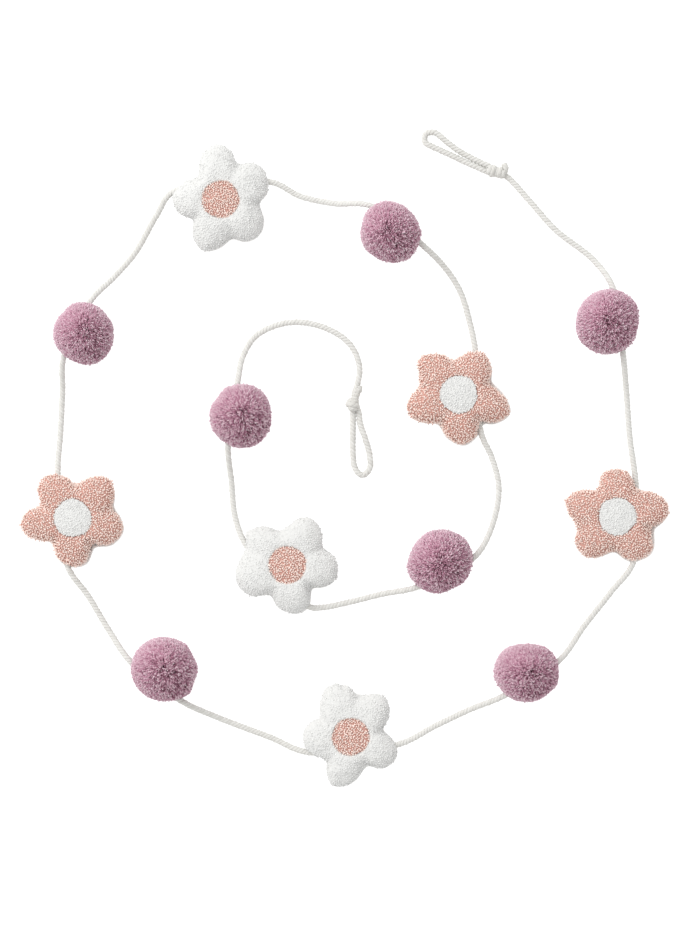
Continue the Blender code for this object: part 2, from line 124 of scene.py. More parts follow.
# The cord
# One length of three-strand twisted cotton, undyed, that runs from knot to knot through every
# flower and pom pom. It lies on the table between them and climbs to the middle of each pom pom.
STRANDS = 3
STRAND_RADIUS = 0.00157
STRAND_OFF_MIDDLE = 0.00060
TWIST_LENGTH = 0.0070
TWIST_WANDER = 0.0034
WANDER_LENGTH = 0.047
STEPS_IN_TWIST = 8
CURVE_STEPS = 24
STRAND_SIDES = 6
STRAND_SWELL = 0.05
SWELL_LENGTH = 0.011
PLIES_IN_STRAND = 5
PLY_TWIST_LENGTH = 0.0042
PLY_DEPTH = 0.12
ROPE_SHADE = 0.55
ROPE_PATCHES = 40
PATCH_TONE = 0.15
CORD_ROUTE = [
    (0.1094, 0.1928, 0.0019), (0.1236, 0.1774, 0.0019), (0.1410, 0.1580, 0.0019),
    (0.1664, 0.1376, 0.0040), (0.1790, 0.1174, 0.0155), (0.1852, 0.0760, 0.0155),
    (0.1884, 0.0492, 0.0042), (0.1906, 0.0206, 0.0019), (0.1948, -0.0160, 0.0055),
    (0.1930, -0.0640, 0.0055), (0.1784, -0.0840, 0.0019), (0.1604, -0.1066, 0.0038),
    (0.1426, -0.1296, 0.0150), (0.1066, -0.1526, 0.0155), (0.0836, -0.1628, 0.0040),
    (0.0610, -0.1736, 0.0019), (0.0356, -0.1860, 0.0055), (-0.0244, -0.1912, 0.0055),
    (-0.0496, -0.1814, 0.0019), (-0.0856, -0.1676, 0.0038), (-0.1090, -0.1560, 0.0150),
    (-0.1416, -0.1310, 0.0150), (-0.1570, -0.1104, 0.0040), (-0.1710, -0.0874, 0.0019),
    (-0.1856, -0.0654, 0.0055), (-0.1914, -0.0054, 0.0055), (-0.1898, 0.0240, 0.0019),
    (-0.1884, 0.0500, 0.0040), (-0.1866, 0.0734, 0.0155), (-0.1692, 0.1094, 0.0155),
    (-0.1536, 0.1266, 0.0040), (-0.1396, 0.1430, 0.0019), (-0.1256, 0.1676, 0.0019),
    (-0.1144, 0.1830, 0.0055), (-0.0492, 0.1896, 0.0055), (-0.0296, 0.1804, 0.0019),
    (-0.0070, 0.1754, 0.0040), (0.0176, 0.1730, 0.0155), (0.0504, 0.1484, 0.0150),
    (0.0676, 0.1320, 0.0040), (0.0774, 0.1166, 0.0019), (0.0836, 0.0966, 0.0019),
    (0.0874, 0.0766, 0.0055), (0.0912, 0.0224, 0.0055), (0.0984, 0.0060, 0.0019),
    (0.1032, -0.0146, 0.0019), (0.0984, -0.0406, 0.0040), (0.0856, -0.0614, 0.0150),
    (0.0496, -0.0802, 0.0150), (0.0250, -0.0856, 0.0040), (0.0050, -0.0906, 0.0019),
    (-0.0150, -0.0946, 0.0026), (-0.0246, -0.0936, 0.0055), (-0.0646, -0.0544, 0.0055),
    (-0.0730, -0.0346, 0.0019), (-0.0756, -0.0094, 0.0040), (-0.0774, 0.0140, 0.0155),
    (-0.0714, 0.0540, 0.0155), (-0.0674, 0.0744, 0.0040), (-0.0584, 0.0876, 0.0019),
    (-0.0364, 0.0960, 0.0019), (-0.0130, 0.0924, 0.0019), (0.0036, 0.0814, 0.0019),
    (0.0100, 0.0666, 0.0019), (0.0085, 0.0541, 0.0019),
]
INTO_OUTER_KNOT = [(0.1040, 0.1958, 0.0034)]
INTO_INNER_KNOT = [(0.0070, 0.0500, 0.0030), (0.0062, 0.0440, 0.0040)]


def smooth_line(points, spacing):
    """Rounded line through the points, read off at even steps."""
    points = [np.array(point) for point in points]
    ends = [points[0] * 2 - points[1]] + points + [points[-1] * 2 - points[-2]]
    line = []
    for before, start, end, after in zip(ends, ends[1:], ends[2:], ends[3:]):
        t1 = math.sqrt(np.linalg.norm(start - before))
        t2 = t1 + math.sqrt(np.linalg.norm(end - start))
        t3 = t2 + math.sqrt(np.linalg.norm(after - end))
        for t in np.linspace(t1, t2, CURVE_STEPS, endpoint=False):
            a1 = before + (start - before) * t / t1
            a2 = start + (end - start) * (t - t1) / (t2 - t1)
            a3 = end + (after - end) * (t - t2) / (t3 - t2)
            b1 = a1 + (a2 - a1) * t / t2
            b2 = a2 + (a3 - a2) * (t - t1) / (t3 - t1)
            line.append(b1 + (b2 - b1) * (t - t1) / (t2 - t1))
    line = np.array(line + [points[-1]])
    travelled = np.concatenate([[0.0], np.cumsum(np.linalg.norm(np.diff(line, axis=0), axis=1))])
    wanted = np.linspace(0.0, travelled[-1], max(2, round(travelled[-1] / spacing)) + 1)
    return np.stack([np.interp(wanted, travelled, line[:, axis]) for axis in range(3)], axis=1)


def rope_way(points):
    """Where the middle of a rope runs through the points; the rope never sinks into the table."""
    way = smooth_line(points, TWIST_LENGTH / STEPS_IN_TWIST)
    way[:, 2] = np.maximum(way[:, 2], STRAND_RADIUS + STRAND_OFF_MIDDLE)
    return way


def add_piece(name, points, faces, look, **values):
    """A smooth mesh object from an array of points and arrays of faces; each of the values is a
    number for every point, which its material reads by name."""
    mesh = bpy.data.meshes.new(name)
    mesh.vertices.add(len(points))
    mesh.vertices.foreach_set("co", np.asarray(points, np.float32).ravel())
    corners = np.concatenate([np.asarray(some).ravel() for some in faces])
    counts = np.concatenate([np.full(len(some), np.shape(some)[1]) for some in faces])
    mesh.loops.add(len(corners))
    mesh.loops.foreach_set("vertex_index", corners.astype(np.int32))
    mesh.polygons.add(len(counts))
    mesh.polygons.foreach_set("loop_start", np.concatenate([[0], np.cumsum(counts)[:-1]]).astype(np.int32))
    mesh.update(calc_edges=True)
    mesh.validate()
    mesh.shade_smooth()
    for kind, numbers in values.items():
        numbers = np.asarray(numbers, np.float32)
        mesh.attributes.new(kind, "FLOAT", "POINT").data.foreach_set("value", numbers)
    mesh.materials.append(look)
    piece = bpy.data.objects.new(name, mesh)
    bpy.context.scene.collection.objects.link(piece)
    return piece


def close_tube(rings):
    """Points and faces of a tube through the rings, with a point in each end."""
    count, corners = rings.shape[:2]
    points = np.concatenate([rings.reshape(-1, 3), [rings[0].mean(axis=0), rings[-1].mean(axis=0)]])
    low = (np.arange(count - 1)[:, None] * corners + np.arange(corners)[None]).ravel()
    next_low = (np.arange(count - 1)[:, None] * corners + (np.arange(corners)[None] + 1) % corners).ravel()
    walls = np.stack([low, next_low, next_low + corners, low + corners], axis=1)
    here = np.arange(corners)
    following = (here + 1) % corners
    first = np.stack([np.full(corners, count * corners), following, here], axis=1)
    last_ring = (count - 1) * corners
    last = np.stack([np.full(corners, count * corners + 1), here + last_ring, following + last_ring], axis=1)
    return points, walls, np.concatenate([first, last])


def lay_rope(name, way, look, seed, crease_shade=0.28, pressed=1.0, loosen=0.0):
    """Three strands laid round the way, each darkened with painted shade towards the creases where they
    meet; pressed draws them closer together, and loosen opens them at the far end."""
    rng = np.random.default_rng(seed)
    along = np.gradient(way, axis=0)
    along /= np.linalg.norm(along, axis=1)[:, None]
    side = np.zeros_like(way)
    side[0] = np.cross(along[0], (0.3, 0.2, 1.0))
    for step in range(len(way)):
        leaning = side[max(step - 1, 0)] - along[step] * side[max(step - 1, 0)].dot(along[step])
        side[step] = leaning / np.linalg.norm(leaning)
    across = np.cross(along, side)
    travelled = np.concatenate([[0.0], np.cumsum(np.linalg.norm(np.diff(way, axis=0), axis=1))])
    wandered = travelled + TWIST_WANDER * np.sin(travelled / WANDER_LENGTH + seed)
    opened = pressed + loosen * (travelled / travelled[-1]) ** 3
    corner_turns = 2 * np.pi * np.arange(STRAND_SIDES) / STRAND_SIDES + math.pi
    points, walls, ends, shades, plies = [], [], [], [], []
    for strand in range(STRANDS):
        turn = -2 * np.pi * wandered / TWIST_LENGTH + 2 * np.pi * strand / STRANDS
        out = side * np.cos(turn)[:, None] + across * np.sin(turn)[:, None]
        flat = np.cross(along, out)
        middles = way + out * (STRAND_OFF_MIDDLE * opened)[:, None]
        radii = STRAND_RADIUS * (1.0 + STRAND_SWELL * np.sin(travelled / SWELL_LENGTH + 2.0 * strand))
        round_it = (out[:, None] * np.cos(corner_turns)[None, :, None]
                    + flat[:, None] * np.sin(corner_turns)[None, :, None])
        some_points, some_walls, some_ends = close_tube(middles[:, None] + radii[:, None, None] * round_it)
        start = sum(len(already) for already in points)
        points.append(some_points)
        walls.append(some_walls + start)
        ends.append(some_ends + start)
        tone = np.interp(travelled, np.linspace(0, travelled[-1], ROPE_PATCHES),
                         rng.uniform(-PATCH_TONE, PATCH_TONE, ROPE_PATCHES))
        # Painted shade: each strand is darker on its side that faces the rope's middle, in the creases where
        # the strands meet, and lighter on its outer side.
        shade = ROPE_SHADE + tone[:, None] + crease_shade * np.cos(corner_turns)[None]
        ply = PLIES_IN_STRAND * (travelled[:, None] / PLY_TWIST_LENGTH
                                 + np.arange(STRAND_SIDES)[None] / STRAND_SIDES)
        shades.append(np.concatenate([shade.ravel(), [0.5, 0.5]]))
        plies.append(np.concatenate([ply.ravel(), ply[0, :1], ply[-1, :1]]))
    return add_piece(name, np.concatenate(points), [np.concatenate(walls), np.concatenate(ends)], look,
                     shade=np.concatenate(shades), ply=np.concatenate(plies))


def socket(tree, name, direction, kind, value=None):
    made = tree.interface.new_socket(name, in_out=direction, socket_type=kind)
    if value is not None:
        made.default_value = value


# Spun fibre: every yarn and thread here is a little uneven in tone from one length to the next and
# has fine fibres that catch the light. The group gives a colour and a height for the bump.
FIBRE_TONE = 0.4
FUZZ_HEIGHT = 0.0001
spun = bpy.data.node_groups.new("spun fibre", "ShaderNodeTree")
socket(spun, "Deep Colour", "INPUT", "NodeSocketColor")
socket(spun, "Middle Colour", "INPUT", "NodeSocketColor")
socket(spun, "Light Colour", "INPUT", "NodeSocketColor")
# Shade picks the colour between deep, middle and light; the pieces put random tone into it and also painted
# shade and painted sheen.
socket(spun, "Shade", "INPUT", "NodeSocketFloat", 0.5)
socket(spun, "Fibres In A Metre", "INPUT", "NodeSocketFloat", 2500.0)
socket(spun, "Colour", "OUTPUT", "NodeSocketColor")
socket(spun, "Height", "OUTPUT", "NodeSocketFloat")
given = spun.nodes.new("NodeGroupInput")
handed = spun.nodes.new("NodeGroupOutput")
where = spun.nodes.new("ShaderNodeTexCoord")
fibres = spun.nodes.new("ShaderNodeTexNoise")
fibres.inputs["Detail"].default_value = 3.0
spun.links.new(where.outputs["Object"], fibres.inputs["Vector"])
spun.links.new(given.outputs["Fibres In A Metre"], fibres.inputs["Scale"])
tones = spun.nodes.new("ShaderNodeMath")
tones.operation = "MULTIPLY_ADD"
tones.inputs[1].default_value = FIBRE_TONE
spun.links.new(fibres.outputs["Fac"], tones.inputs[0])
spun.links.new(given.outputs["Shade"], tones.inputs[2])
lower = spun.nodes.new("ShaderNodeMapRange")
upper = spun.nodes.new("ShaderNodeMapRange")
for part, start, end in ((lower, 0.2, 0.7), (upper, 0.7, 1.2)):
    part.inputs["From Min"].default_value = start
    part.inputs["From Max"].default_value = end
    spun.links.new(tones.outputs[0], part.inputs["Value"])
to_middle = spun.nodes.new("ShaderNodeMix")
to_light = spun.nodes.new("ShaderNodeMix")
for blend, part in ((to_middle, lower), (to_light, upper)):
    blend.data_type = "RGBA"
    spun.links.new(part.outputs["Result"], blend.inputs["Factor"])
spun.links.new(given.outputs["Deep Colour"], to_middle.inputs[6])
spun.links.new(given.outputs["Middle Colour"], to_middle.inputs[7])
spun.links.new(to_middle.outputs[2], to_light.inputs[6])
spun.links.new(given.outputs["Light Colour"], to_light.inputs[7])
spun.links.new(to_light.outputs[2], handed.inputs["Colour"])
spun.links.new(fibres.outputs["Fac"], handed.inputs["Height"])


def yarn_finish(name, deep, middle, light, fibres_in_metre, bump, sheen, sheen_tint, ply_depth=0.0):
    """A matt yarn: its colours come from the spun fibre group, a soft sheen stands for its fuzz and,
    in the cord, fine slanting lines show the plies of each strand."""
    made = bpy.data.materials.new(name)
    made.use_nodes = True
    nodes = made.node_tree.nodes
    links = made.node_tree.links
    surface = nodes["Principled BSDF"]
    surface.inputs["Roughness"].default_value = 0.9
    surface.inputs["Specular IOR Level"].default_value = 0.15
    surface.inputs["Sheen Weight"].default_value = sheen
    surface.inputs["Sheen Roughness"].default_value = 0.5
    surface.inputs["Sheen Tint"].default_value = (*sheen_tint, 1.0)
    fibre = nodes.new("ShaderNodeGroup")
    fibre.node_tree = spun
    fibre.inputs["Deep Colour"].default_value = (*deep, 1.0)
    fibre.inputs["Middle Colour"].default_value = (*middle, 1.0)
    fibre.inputs["Light Colour"].default_value = (*light, 1.0)
    fibre.inputs["Fibres In A Metre"].default_value = fibres_in_metre
    tone = nodes.new("ShaderNodeAttribute")
    tone.attribute_name = "shade"
    shade = tone.outputs["Fac"]
    if ply_depth:
        ply = nodes.new("ShaderNodeAttribute")
        ply.attribute_name = "ply"
        turned = nodes.new("ShaderNodeMath")
        turned.operation = "MULTIPLY"
        turned.inputs[1].default_value = 2 * math.pi
        links.new(ply.outputs["Fac"], turned.inputs[0])
        wave = nodes.new("ShaderNodeMath")
        wave.operation = "SINE"
        links.new(turned.outputs[0], wave.inputs[0])
        marked = nodes.new("ShaderNodeMath")
        marked.operation = "MULTIPLY_ADD"
        marked.inputs[1].default_value = ply_depth
        links.new(wave.outputs[0], marked.inputs[0])
        links.new(shade, marked.inputs[2])
        shade = marked.outputs[0]
    links.new(shade, fibre.inputs["Shade"])
    links.new(fibre.outputs["Colour"], surface.inputs["Base Color"])
    raised = nodes.new("ShaderNodeBump")
    raised.inputs["Strength"].default_value = bump
    raised.inputs["Distance"].default_value = FUZZ_HEIGHT
    links.new(fibre.outputs["Height"], raised.inputs["Height"])
    links.new(raised.outputs["Normal"], surface.inputs["Normal"])
    return made


# The cotton's deep colour is a warm tan, the colour of the painted shade in the creases between the strands.
cotton = yarn_finish("twisted cotton", (0.39, 0.36, 0.30), (0.575, 0.565, 0.535), (0.69, 0.685, 0.66),
                     2000, 0.5, 0.0, WHITE, PLY_DEPTH)
cord_way = rope_way(CORD_ROUTE)
knot_to_knot = rope_way(INTO_OUTER_KNOT + CORD_ROUTE + INTO_INNER_KNOT)
cord = lay_rope("cord_rope", knot_to_knot, cotton, 1)
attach(cord, "root")
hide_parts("cord")


# The hanging loops
# At each end the cord is folded back on itself for about 45 mm, so that it can go over a hook. Both
# loops lie flat on the table and both their legs run on into the knot.
LOOP_HEIGHT = 0.0020
OUTER_LOOP = [
    (0.0958, 0.2008), (0.0879, 0.2045), (0.0762, 0.2109), (0.0663, 0.2185), (0.0627, 0.2217),
    (0.0588, 0.2232), (0.0548, 0.2222), (0.0534, 0.2190), (0.0545, 0.2158), (0.0601, 0.2129),
    (0.0711, 0.2079), (0.0813, 0.2030), (0.0879, 0.2001), (0.0937, 0.1975),
]
INNER_LOOP = [
    (0.0056, 0.0360), (0.0056, 0.0194), (0.0056, 0.0094), (0.0072, -0.0018), (0.0120, -0.0062),
    (0.0168, -0.0018), (0.0168, 0.0074), (0.0140, 0.0180), (0.0106, 0.0280), (0.0095, 0.0360),
]
LOOP_ENDS = {"outer": ((0.1000, 0.1985, 0.0034), (0.0985, 0.1955, 0.0030)),
             "inner": ((0.0054, 0.0400, 0.0034), (0.0080, 0.0400, 0.0030))}
for end, outline in (("outer", OUTER_LOOP), ("inner", INNER_LOOP)):
    first, last = LOOP_ENDS[end]
    loop_points = [first] + [(x, y, LOOP_HEIGHT) for x, y in outline] + [last]
    loop_way = rope_way(loop_points)
    loop = lay_rope(f"loop_{end}_rope", loop_way, cotton, 2)
    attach(loop, "root")
    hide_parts(f"loop_{end}")


# The knots
# Each loop is closed by the cord's own end, wound round both legs and pulled through. The cut end
# sticks out a few millimetres and has begun to fray.
POINTS_IN_TURN = 12
# The knots' turns carry a lighter painted shade in their creases than the cord does.
KNOT_CREASE_SHADE = 0.08
KNOT_PRESSED = 0.7
FRAYED_OPEN = 0.4
KNOTS = {
    "outer": {"start": (0.0966, 0.1975, 0.0046), "finish": (0.1068, 0.1955, 0.0042),
              "radii": (0.0020, 0.0025, 0.0025, 0.0015, 0.0022, 0.0021, 0.0009),
              "first_turn": 0.1, "turns": 4.6,
              "tail": [(0.1076, 0.1984, 0.0052), (0.1073, 0.2000, 0.0050), (0.1068, 0.2014, 0.0042)]},
    "inner": {"start": (0.0045, 0.0384, 0.0046), "finish": (0.0088, 0.0508, 0.0040),
              "radii": (0.0020, 0.0031, 0.0025, 0.0009, 0.0009, 0.0010, 0.0004),
              "first_turn": 0.35, "turns": -5.6,
              "tail": [(0.0096, 0.0500, 0.0050), (0.0100, 0.0512, 0.0044), (0.0098, 0.0528, 0.0038)]},
}


def knot_way(start, finish, radii, first_turn, turns, tail):
    """The way of cord that is wound round the line from start to finish and then follows the tail."""
    start, finish = np.array(start), np.array(finish)
    axis = finish - start
    up = np.array((0.0, 0.0, 1.0))
    across = np.cross(axis / np.linalg.norm(axis), up)
    wound = []
    for part in np.linspace(0.0, 1.0, round(POINTS_IN_TURN * abs(turns))):
        turn = 2 * math.pi * (first_turn + turns * part)
        fat = np.interp(part, np.linspace(0.0, 1.0, len(radii)), radii)
        wound.append(start + axis * part + (across * math.cos(turn) + up * math.sin(turn)) * fat)
    return rope_way(wound + tail)


for seed, (end, winding) in enumerate(KNOTS.items(), 4):
    knot = lay_rope(f"knot_{end}_rope", knot_way(**winding), cotton, seed, crease_shade=KNOT_CREASE_SHADE,
                    pressed=KNOT_PRESSED, loosen=FRAYED_OPEN)
    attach(knot, "root")
    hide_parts(f"knot_{end}")


# The pom poms
# Dusty mauve yarn wound in a bundle, tied round the middle and cut, so that some thousands of ends
# stand out all round. They part at a whorl. Each ball is trimmed by eye, so none is quite round.
STRANDS_IN_POM = 7400
STRAND_THICKNESS = 0.00052
STRAND_START = 0.56
STRAND_SHOWS_FROM = 0.50
STRAND_NARROWS = 0.62
SNIPPED_SLANT = 0.00025
WHORL_LEAN = 0.75
LOOSE_ENDS = 0.0007
PROUD_ENDS = 0.0006
BUNCHING = 0.00040
BUNCH_SIZES = (0.0030, 0.0060)
BUNCH_WAVES = 10
END_FATNESS = (0.8, 1.2)
TONE_ACROSS_END = 0.05
CORE_SHARE = 0.82
CORE_FLOOR = 0.0008
CORD_PARTING = 0.0023
WIDEST_REACH = 0.045
PRESSED_BELOW = 0.0004
PRESSED_TO = (0.0002, 0.0008)
# On the side away from the window the ends get painted shade: they are darker, and their tone spreads wider,
# for light raking across the tips.
SHADED_SIDE = np.array((0.5, -0.5, 0.0))
YARN_TONE = 0.60
TONE_SPREAD = 0.45
CALMER_SIDES = 0.3
WILDER_SHADED_SIDE = 0.8
# Painted sheen: ends that point sideways, seen side on from above, are paler, most of all at the ball's
# edge.
SHEEN_PAINTED_SIDES = 0.12
SHEEN_PAINTED_EDGE = 0.18
# Painted shade: the ends near the whorl, where the yarn parts, are darker.
WHORL_SHADE = 0.06
DEEPER_SHADED_SIDE = 0.14
# Painted shade: the foot of each yarn end is this much darker, for the shade down between the ends.
ROOT_SHADE = 0.75
# Each entry gives the whorl's place off the middle, then how far the yarn reaches at each angle.
POMS = [
    (-0.0013, 0.0012, [
        (0, 0.0208), (30, 0.0223), (60, 0.0218), (90, 0.0213), (120, 0.0206), (150, 0.0205),
        (180, 0.0209), (215, 0.0221), (245, 0.0222), (290, 0.0219), (322, 0.0220), (341, 0.0209)]),
    (0.0020, 0.0015, [
        (0, 0.0214), (25, 0.0219), (52, 0.0213), (68, 0.0200), (88, 0.0193), (108, 0.0198),
        (125, 0.0210), (155, 0.0218), (190, 0.0217), (212, 0.0204), (240, 0.0199), (264, 0.0194),
        (320, 0.0200), (338, 0.0215)]),
    (0.0008, 0.0035, [
        (0, 0.0220), (30, 0.0210), (46, 0.0221), (70, 0.0216), (115, 0.0222), (160, 0.0226),
        (190, 0.0222), (225, 0.0214), (255, 0.0209), (290, 0.0212), (315, 0.0226), (339, 0.0211)]),
    (0.0027, 0.0045, [
        (0, 0.0196), (20, 0.0199), (38, 0.0194), (70, 0.0206), (93, 0.0212), (112, 0.0213),
        (130, 0.0201), (155, 0.0204), (195, 0.0204), (225, 0.0197), (250, 0.0193), (278, 0.0209),
        (305, 0.0210), (328, 0.0203)]),
    (-0.0045, 0.0005, [
        (0, 0.0203), (12, 0.0193), (45, 0.0188), (75, 0.0197), (105, 0.0209), (140, 0.0208),
        (165, 0.0198), (205, 0.0204), (242, 0.0197), (280, 0.0208), (306, 0.0215), (330, 0.0205)]),
    (0.0009, -0.0008, [
        (0, 0.0216), (30, 0.0225), (60, 0.0220), (105, 0.0215), (140, 0.0206), (165, 0.0206),
        (190, 0.0223), (225, 0.0221), (262, 0.0211), (295, 0.0196), (320, 0.0206), (345, 0.0210)]),
    (0.0023, 0.0039, [
        (5, 0.0199), (30, 0.0209), (62, 0.0220), (95, 0.0217), (120, 0.0219), (136, 0.0206),
        (165, 0.0212), (195, 0.0211), (235, 0.0204), (275, 0.0209), (305, 0.0210), (345, 0.0204)]),
]

# The mauve yarn's deep colour is the colour of the painted shade at the feet of the ends.
mauve = yarn_finish("mauve yarn", (0.13, 0.035, 0.058), (0.50, 0.240, 0.332), (0.78, 0.60, 0.66),
                    1600, 0.4, 0.25, (1.0, 0.92, 0.96))
# The core is coloured far darker than the yarn: painted shade for the deep gaps between the ends.
mauve_core_in_shade = yarn_finish("mauve core in painted shade", (0.07, 0.02, 0.04), (0.10, 0.03, 0.055), (0.14, 0.05, 0.085),
                         1000, 0.4, 0.0, WHITE)


def reach_at(outline, angle):
    """How far a piece reaches from its middle that way, on a smooth curve through its outline."""
    around = [(turn + lap, reach) for lap in (-360, 0, 360) for turn, reach in outline]
    place = max(index for index, (turn, _) in enumerate(around) if turn <= angle)
    (turn0, reach0), (turn1, reach1), (turn2, reach2), (turn3, reach3) = around[place - 1:place + 3]
    gap = turn2 - turn1
    slope1 = gap * (reach2 - reach0) / (turn2 - turn0)
    slope2 = gap * (reach3 - reach1) / (turn3 - turn1)
    part = (angle - turn1) / gap
    rise = 3 * part ** 2 - 2 * part ** 3
    return (reach1 + (reach2 - reach1) * rise + slope1 * (part - 2 * part ** 2 + part ** 3)
            + slope2 * (part ** 3 - part ** 2))


def clear_of_cord(points, distance):
    """True for each point that is at least that far from the cord's middle."""
    clear = np.ones(len(points), bool)
    middle = points.mean(axis=0)
    for near in cord_way[np.linalg.norm(cord_way - middle, axis=1) < WIDEST_REACH]:
        clear &= ((points - near) ** 2).sum(axis=1) > distance ** 2
    return clear


def spiral_directions(count, rng):
    """Directions spread evenly over a ball, each a little off its place."""
    step = np.arange(count) + 0.5
    height = 1.0 - 2.0 * step / count
    turn = step * math.pi * (3.0 - math.sqrt(5.0))
    flat = np.sqrt(1.0 - height ** 2)
    ways = np.stack([flat * np.cos(turn), flat * np.sin(turn), height], axis=1)
    ways += rng.normal(0.0, 0.5 / math.sqrt(count), ways.shape)
    return ways / np.linalg.norm(ways, axis=1)[:, None]


def bunched(points, size, rng):
    """A smooth push for each point: neighbours gather in some places and part in others."""
    push = np.zeros_like(points)
    for _ in range(BUNCH_WAVES):
        wave = rng.normal(size=3)
        wave *= 2 * math.pi / (size * rng.uniform(0.7, 1.4)) / np.linalg.norm(wave)
        push += np.sin(points @ wave + rng.uniform(0.0, 2 * math.pi))[:, None] * rng.normal(size=3)
    return push / math.sqrt(1.5 * BUNCH_WAVES)


def yarn_ends(roots, tips, tone, rng):
    """Three-sided yarn ends, cut a little aslant at the tip; gives points, faces and shades."""
    lean = tips - roots
    lean /= np.linalg.norm(lean, axis=1)[:, None]
    side = np.cross(lean, rng.normal(size=lean.shape))
    side /= np.linalg.norm(side, axis=1)[:, None]
    other = np.cross(lean, side)
    count = len(roots)
    fat = STRAND_THICKNESS * rng.uniform(*END_FATNESS, count)
    corners = 2 * np.pi * np.arange(3) / 3
    ring = (side[:, None] * np.cos(corners)[None, :, None]
            + other[:, None] * np.sin(corners)[None, :, None])
    foot = (roots + (tips - roots) * STRAND_SHOWS_FROM)[:, None]
    foot = foot + ring * (fat * STRAND_NARROWS)[:, None, None]
    slant = rng.normal(0.0, SNIPPED_SLANT, (count, 3))
    cut = tips[:, None] + ring * fat[:, None, None] + lean[:, None] * slant[:, :, None]
    start = np.arange(count)[:, None] * 6
    threes = np.concatenate([start + np.array(face) for face in ((0, 2, 1), (3, 4, 5))])
    fours = np.concatenate([start + np.array(face) for face in ((0, 1, 4, 3), (1, 2, 5, 4), (2, 0, 3, 5))])
    shade = np.repeat(tone, 6).reshape(count, 6) + rng.normal(0.0, TONE_ACROSS_END, (count, 6))
    # Painted shade: the three foot corners of each end are darker.
    shade[:, :3] -= ROOT_SHADE
    return np.concatenate([foot, cut], axis=1).reshape(-1, 3), threes, fours, shade.ravel()


def ball(middle, half, columns=24, rows=14):
    """Points and faces of a plain oval core."""
    points = [middle + half * np.array((0.0, 0.0, -1.0))]
    for row in range(1, rows):
        tilt = math.pi * row / rows
        for column in range(columns):
            turn = 2 * math.pi * column / columns
            points.append(middle + half * np.array((math.sin(tilt) * math.cos(turn),
                                                    math.sin(tilt) * math.sin(turn), -math.cos(tilt))))
    points.append(middle + half * np.array((0.0, 0.0, 1.0)))
    threes, fours = [], []
    last = len(points) - 1
    for column in range(columns):
        following = (column + 1) % columns
        threes.append((0, 1 + following, 1 + column))
        threes.append((last, last - columns + column, last - columns + following))
        for row in range(rows - 2):
            low = 1 + row * columns
            fours.append((low + column, low + following, low + columns + following, low + columns + column))
    return np.array(points), np.array(threes), np.array(fours)


for number, (whorl_x, whorl_y, outline) in enumerate(POMS, 1):
    rng = np.random.default_rng(20 + number)
    low, high = (np.array(corner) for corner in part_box(f"pom_{number}"))
    middle = (high + low) / 2
    radius = (high - low)[:2].mean() / 2
    middle[2] = high[2] - radius
    whorl = np.array((whorl_x, whorl_y, 0.0)) / radius
    whorl[2] = math.sqrt(1.0 - whorl.dot(whorl))
    ways_out = spiral_directions(STRANDS_IN_POM, rng)
    height = ways_out @ whorl
    off_axis = ways_out - height[:, None] * whorl
    off_axis /= np.linalg.norm(off_axis, axis=1)[:, None]
    tilt = np.arccos(np.clip(height, -1.0, 1.0))
    root_tilt = tilt - WHORL_LEAN * np.sin(2 * tilt) * np.exp(-tilt ** 2)
    root_ways = np.cos(root_tilt)[:, None] * whorl + np.sin(root_tilt)[:, None] * off_axis
    reaches = np.array([reach_at(outline, turn) for turn in range(360)])
    facing = np.degrees(np.arctan2(ways_out[:, 1], ways_out[:, 0])).astype(int) % 360
    half = np.stack([reaches[facing], reaches[facing], np.full(STRANDS_IN_POM, radius)], axis=1)
    shortened = 1.0 - np.abs(rng.normal(0.0, LOOSE_ENDS / radius, STRANDS_IN_POM))
    shortened += rng.random(STRANDS_IN_POM) ** 6 * PROUD_ENDS / radius
    tips = middle + ways_out * half * shortened[:, None]
    for size in BUNCH_SIZES:
        push = bunched(tips, size, rng)
        tips += (push - (push * ways_out).sum(axis=1)[:, None] * ways_out) * BUNCHING
    roots = middle + root_ways * half * STRAND_START
    pressed = tips[:, 2] < PRESSED_BELOW
    level = middle[2] - rng.uniform(*PRESSED_TO, STRANDS_IN_POM)
    share = np.where(pressed, level / (middle[2] - tips[:, 2]), 1.0)
    tips = middle + (tips - middle) * share[:, None]
    roots = middle + (roots - middle) * share[:, None]
    kept = clear_of_cord(tips, CORD_PARTING) & clear_of_cord((tips + roots) / 2, CORD_PARTING)
    sideways = np.hypot(ways_out[:, 0], ways_out[:, 1])
    shaded_side = ways_out @ SHADED_SIDE
    # Painted light: the random tone spreads wider on the side away from the window, for light raking across
    # the tips, and less wide at the sides.
    wild = 1.0 - CALMER_SIDES * sideways + WILDER_SHADED_SIDE * shaded_side
    tone = YARN_TONE + rng.uniform(-TONE_SPREAD, TONE_SPREAD, STRANDS_IN_POM) * wild
    # Painted sheen, paler towards the sides and the edge.
    tone += SHEEN_PAINTED_SIDES * sideways ** 2 + SHEEN_PAINTED_EDGE * sideways ** 8
    # Painted shade: darker near the whorl and on the side away from the window.
    tone -= WHORL_SHADE * np.exp(-(tilt / 0.5) ** 2) + DEEPER_SHADED_SIDE * np.maximum(shaded_side, 0.0)
    points, threes, fours, shade = yarn_ends(roots[kept], tips[kept], tone[kept], rng)
    points[:, 2] = np.maximum(points[:, 2], 0.0)
    pom = add_piece(f"pom_{number}_yarn", points, [threes, fours], mauve, shade=shade)
    core_points, core_threes, core_fours = ball(middle, np.array((radius, radius, radius)) * CORE_SHARE)
    core_points[:, 2] = np.maximum(core_points[:, 2], CORE_FLOOR)
    core = add_piece(f"pom_{number}_core", core_points, [core_threes, core_fours], mauve_core_in_shade,
                     shade=np.full(len(core_points), 0.5))
    for piece in (pom, core):
        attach(piece, "root")
    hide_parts(f"pom_{number}")


